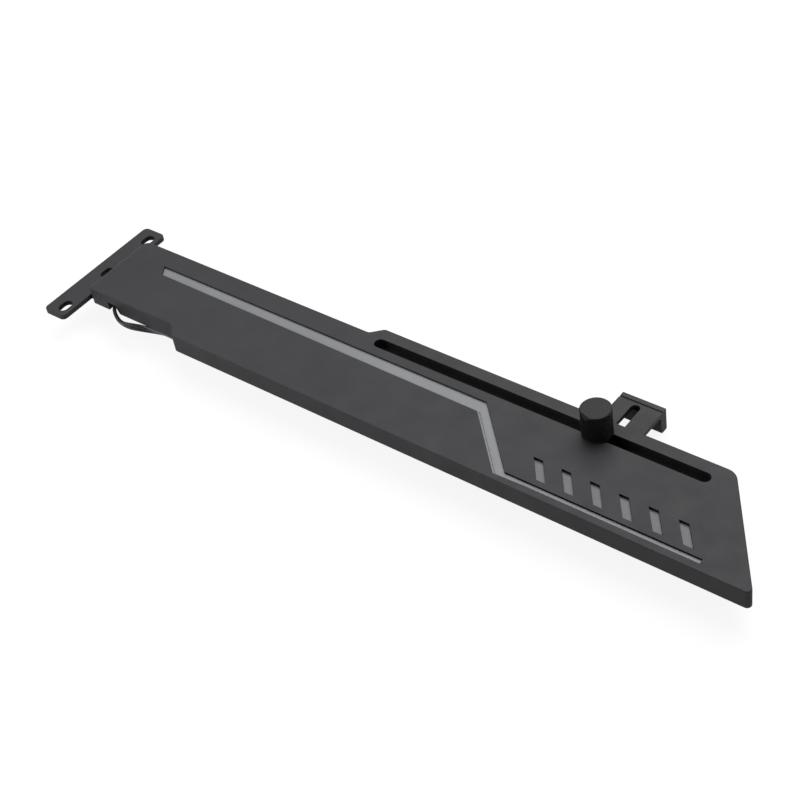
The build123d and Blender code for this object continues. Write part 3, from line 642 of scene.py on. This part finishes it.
class BRACKET_OT_finish(Operator):
    """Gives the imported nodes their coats, plastics and metals."""

    bl_idname = "bracket.finish"
    bl_label = "Finishes"

    def execute(self, context):
        colors = context.scene.bracket_finish
        cover = coat("cover_coat", colors.cover, 0.60, 2300.0, 0.000022, specular=0.33, edge_wear_and_sheen=0.06)
        # Painted highlight: a thin light line along the cover's left edge.
        painted_edge_glint(cover, colors.cover, COVER_BOX[0].x, 0.0005)
        steel = coat("steel_coat", colors.steel, 0.58, 2100.0, 0.000024, specular=0.33, edge_wear_and_sheen=0.15)
        arm = coat("arm_coat", tuple(0.88 * value for value in colors.steel), 0.56, 2100.0, 0.000024,
                   specular=0.33, edge_wear_and_sheen=0.2)
        white = plain_plastic("white_plastic", (0.7, 0.7, 0.69), 0.4)
        black = plain_plastic("black_nylon", (0.02, 0.02, 0.021), 0.42)
        board = plain_plastic("board_mask", (0.62, 0.65, 0.62), 0.35)
        tape = plain_plastic("tape_foam", (0.5, 0.5, 0.48), 0.7)
        lamp = plain_plastic("lamp_resin", (0.75, 0.70, 0.45), 0.2)
        cable = plain_plastic("inner_insulation", (0.02, 0.02, 0.022), 0.35)
        zinc = bare_metal("zinc_plate", (0.55, 0.55, 0.56), 0.34)
        brass = bare_metal("brass_contact", (0.75, 0.55, 0.25), 0.28)
        for node, material in (
            ("top_cover", cover), ("base_plate", steel), ("support_arm", arm),
            ("reflector_tray_upper", white), ("reflector_tray_lower", white),
            ("board_tape_upper", tape), ("board_tape_lower", tape),
            ("led_board_upper", board), ("led_board_lower", board),
            ("leds_upper", lamp), ("leds_lower", lamp),
            ("board_link", cable), ("inner_wires", cable), ("strain_relief", black), ("hank_tie", black),
            ("lead_plug", black), ("plug_contacts", brass), ("cover_screws", zinc), ("clamp_stud", zinc),
            ("clamp_washer", zinc),
        ):
            dress(node, material)
        return {"FINISHED"}


class BRACKET_OT_stage(Operator):
    """Sets the pale floor, the soft light and the camera."""

    bl_idname = "bracket.stage"
    bl_label = "Stage"

    def execute(self, context):
        values = context.scene.bracket_stage
        scene = context.scene
        reach, floor_gap = 4.0, 0.00005
        level = CAD_BOX[0][2] - floor_gap
        corners = [(-reach, -reach, level), (reach, -reach, level), (reach, reach, level),
                   (-reach, reach, level)]
        floor = build_mesh("floor", corners, [[0, 1, 2, 3]], smooth=False)
        nodes = Nodes("floor_paper")
        grain = nodes.spread(nodes.noise(6.0, 2.0), 0.0, 1.0)
        paper_tone = nodes.tint(grain, (0.16, 0.16, 0.16), (0.18, 0.18, 0.18))
        nodes.join(paper_tone, nodes.surface.inputs["Base Color"])
        nodes.surface.inputs["Roughness"].default_value = 0.9
        nodes.surface.inputs["Specular IOR Level"].default_value = 0.1
        glow = nodes.add("ShaderNodeEmission", Color=(1, 1, 1, 1), Strength=0.88)
        seen_paper = nodes.add("ShaderNodeAddShader")
        nodes.join(nodes.surface.outputs[0], seen_paper.inputs[0])
        nodes.join(glow.outputs[0], seen_paper.inputs[1])
        lit_paper = nodes.add("ShaderNodeBsdfDiffuse", Color=(0.40, 0.40, 0.40, 1.0))
        rays = nodes.add("ShaderNodeLightPath")
        mirrored = nodes.add("ShaderNodeMath", operation="MULTIPLY_ADD")
        mirrored.inputs[1].default_value = 0.50
        nodes.join(rays.outputs["Is Glossy Ray"], mirrored.inputs[0])
        nodes.join(rays.outputs["Is Camera Ray"], mirrored.inputs[2])
        paper = nodes.add("ShaderNodeMixShader")
        nodes.join(mirrored.outputs[0], paper.inputs[0])
        nodes.join(lit_paper.outputs[0], paper.inputs[1])
        nodes.join(seen_paper.outputs[0], paper.inputs[2])
        nodes.join(paper.outputs[0], nodes.tree.nodes["Material Output"].inputs["Surface"])
        floor.data.materials.append(nodes.material)

        aim = Vector((0.13, 0.0, 0.0))
        for name, power, size, place in (
            ("key_lamp", values.key, 1.0, (0.05, 0.50, 0.80)),
            ("fill_lamp", values.fill, 0.25, (-0.12, -0.30, 0.15)),
        ):
            lamp = bpy.data.lights.new(name, "AREA")
            lamp.shape = "SQUARE"
            lamp.size = size
            lamp.energy = power
            holder = bpy.data.objects.new(name, lamp)
            scene.collection.objects.link(holder)
            holder.location = Vector(place)
            holder.rotation_euler = (holder.location - aim).to_track_quat("Z", "Y").to_euler()

        world = bpy.data.worlds.new("surroundings")
        scene.world = world
        world.use_nodes = True
        tree = world.node_tree
        back = tree.nodes["Background"]
        path = tree.nodes.new("ShaderNodeLightPath")
        seen = tree.nodes.new("ShaderNodeMath")
        seen.operation = "MAXIMUM"
        tree.links.new(path.outputs["Is Camera Ray"], seen.inputs[0])
        tree.links.new(path.outputs["Is Transmission Ray"], seen.inputs[1])
        strength = tree.nodes.new("ShaderNodeMapRange")
        strength.inputs["To Min"].default_value = values.sky
        strength.inputs["To Max"].default_value = 1.0
        tree.links.new(seen.outputs[0], strength.inputs["Value"])
        tree.links.new(strength.outputs["Result"], back.inputs["Strength"])
        back.inputs["Color"].default_value = (1, 1, 1, 1)

        camera = bpy.data.cameras.new("photo_camera")
        camera.lens = values.lens
        camera.sensor_width = 36.0
        camera.clip_start = 0.01
        camera.clip_end = 20.0
        viewer = bpy.data.objects.new("photo_camera", camera)
        scene.collection.objects.link(viewer)
        right = Vector((0.78175526, 0.60892291, -0.13443068))
        down = Vector((0.33732995, -0.59426054, -0.73011157))
        ahead = Vector((-0.52446851, 0.52542107, -0.66997424))
        turn = Matrix((right, -down, -ahead)).transposed().to_4x4()
        viewer.matrix_world = Matrix.Translation(Vector(values.camera_place)) @ turn
        scene.camera = viewer
        scene.view_settings.view_transform = "Standard"
        return {"FINISHED"}


class BRACKET_PT_panel(Panel):
    """Lists the bracket's pieces in the sidebar."""

    bl_idname = "BRACKET_PT_panel"
    bl_label = "Support bracket"
    bl_space_type = "VIEW_3D"
    bl_region_type = "UI"
    bl_category = "Bracket"

    def draw(self, context):
        scene = context.scene
        for operator, settings in OPERATORS:
            self.layout.operator(operator.bl_idname)
            values = getattr(scene, settings)
            for name in values.__annotations__:
                self.layout.prop(values, name)


SETTINGS = {
    "bracket_lead": LeadSettings,
    "bracket_knob": KnobSettings,
    "bracket_strip": StripSettings,
    "bracket_finish": FinishSettings,
    "bracket_stage": StageSettings,
}
OPERATORS = (
    (BRACKET_OT_stage, "bracket_stage"),
    (BRACKET_OT_lead, "bracket_lead"),
    (BRACKET_OT_finish, "bracket_finish"),
    (BRACKET_OT_knob, "bracket_knob"),
    (BRACKET_OT_strip, "bracket_strip"),
)


def register():
    """Registers the settings, operators and panel."""
    for name, group in SETTINGS.items():
        bpy.utils.register_class(group)
        setattr(bpy.types.Scene, name, PointerProperty(type=group))
    for operator, _ in OPERATORS:
        bpy.utils.register_class(operator)
    bpy.utils.register_class(BRACKET_PT_panel)


def unregister():
    """Removes them again."""
    bpy.utils.unregister_class(BRACKET_PT_panel)
    for operator, _ in reversed(OPERATORS):
        bpy.utils.unregister_class(operator)
    for name, group in reversed(list(SETTINGS.items())):
        delattr(bpy.types.Scene, name)
        bpy.utils.unregister_class(group)


def main():
    """Builds every piece in order."""
    register()
    for operator, _ in OPERATORS:
        group, name = operator.bl_idname.split(".")
        getattr(getattr(bpy.ops, group), name)()


if __name__ == "__main__":
    main()
